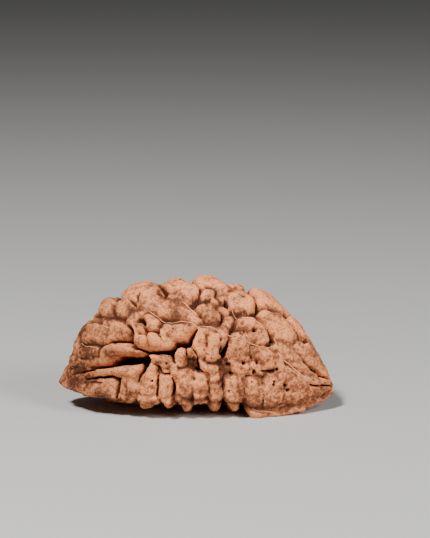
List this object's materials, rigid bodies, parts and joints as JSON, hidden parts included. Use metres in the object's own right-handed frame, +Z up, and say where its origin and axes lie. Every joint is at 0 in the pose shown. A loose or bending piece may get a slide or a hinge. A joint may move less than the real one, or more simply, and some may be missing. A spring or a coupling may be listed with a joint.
{
  "type": "rudraksha bead",
  "caption": "Half-moon shaped natural fruit stone with a lobed, fissured skin, pointed at one end, resting on its seam.",
  "frame": {"origin": "under the middle of the stone, on the surface it rests on", "axes": "+X along the stone to its beak, +Y through its thickness to the back, +Z up"},
  "size_m": [0.0272, 0.0112, 0.0134],
  "materials": {
    "stone": "dry, fine-grained woody stone, pale peach-brown on the tops of its lobes and dark brown in its fissures"
  },
  "bodies": {
    "root": {"rudraksha_stone": "stone"}
  },
  "joints": []
}
